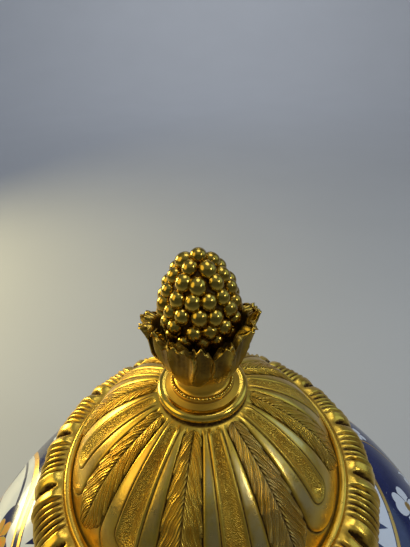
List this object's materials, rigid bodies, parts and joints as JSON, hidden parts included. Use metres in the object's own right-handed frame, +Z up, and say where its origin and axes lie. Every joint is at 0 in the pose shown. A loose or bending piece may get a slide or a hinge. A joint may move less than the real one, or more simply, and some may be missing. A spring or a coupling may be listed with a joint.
{
  "type": "covered porcelain potiche with gilt-bronze mounts",
  "caption": "Baluster porcelain jar on a round gilt-bronze plinth, with a lift-off fluted gilt-bronze lid, ruffled border and berry finial in a leaf cup.",
  "frame": {"origin": "centre of the plinth's underside, on the surface that the jar stands on", "axes": "+Z up along the jar's axis, -Y towards the side that faces the viewer, +X to the viewer's right"},
  "size_m": [0.262, 0.262, 0.4947],
  "materials": {
    "porcelain": "glossy cobalt glaze with white reserves and gilt lines",
    "gilt_plinth": "satin gilding with burnished mouldings",
    "gilt_border": "burnished gilding, dark in the hollows",
    "gilt_satin": "satin gilding, stippled in the flutes",
    "gilt_burnished": "burnished gilding",
    "gilt_antique": "darker polished gilding, brown in the gaps"
  },
  "bodies": {
    "root": {"plinth": "gilt_plinth", "vase_body": "porcelain", "lid_border": "gilt_border", "lid_dome": "gilt_satin", "finial_base": "gilt_burnished", "leaf_cup": "gilt_antique", "berry_knop": "gilt_antique"}
  },
  "joints": []
}
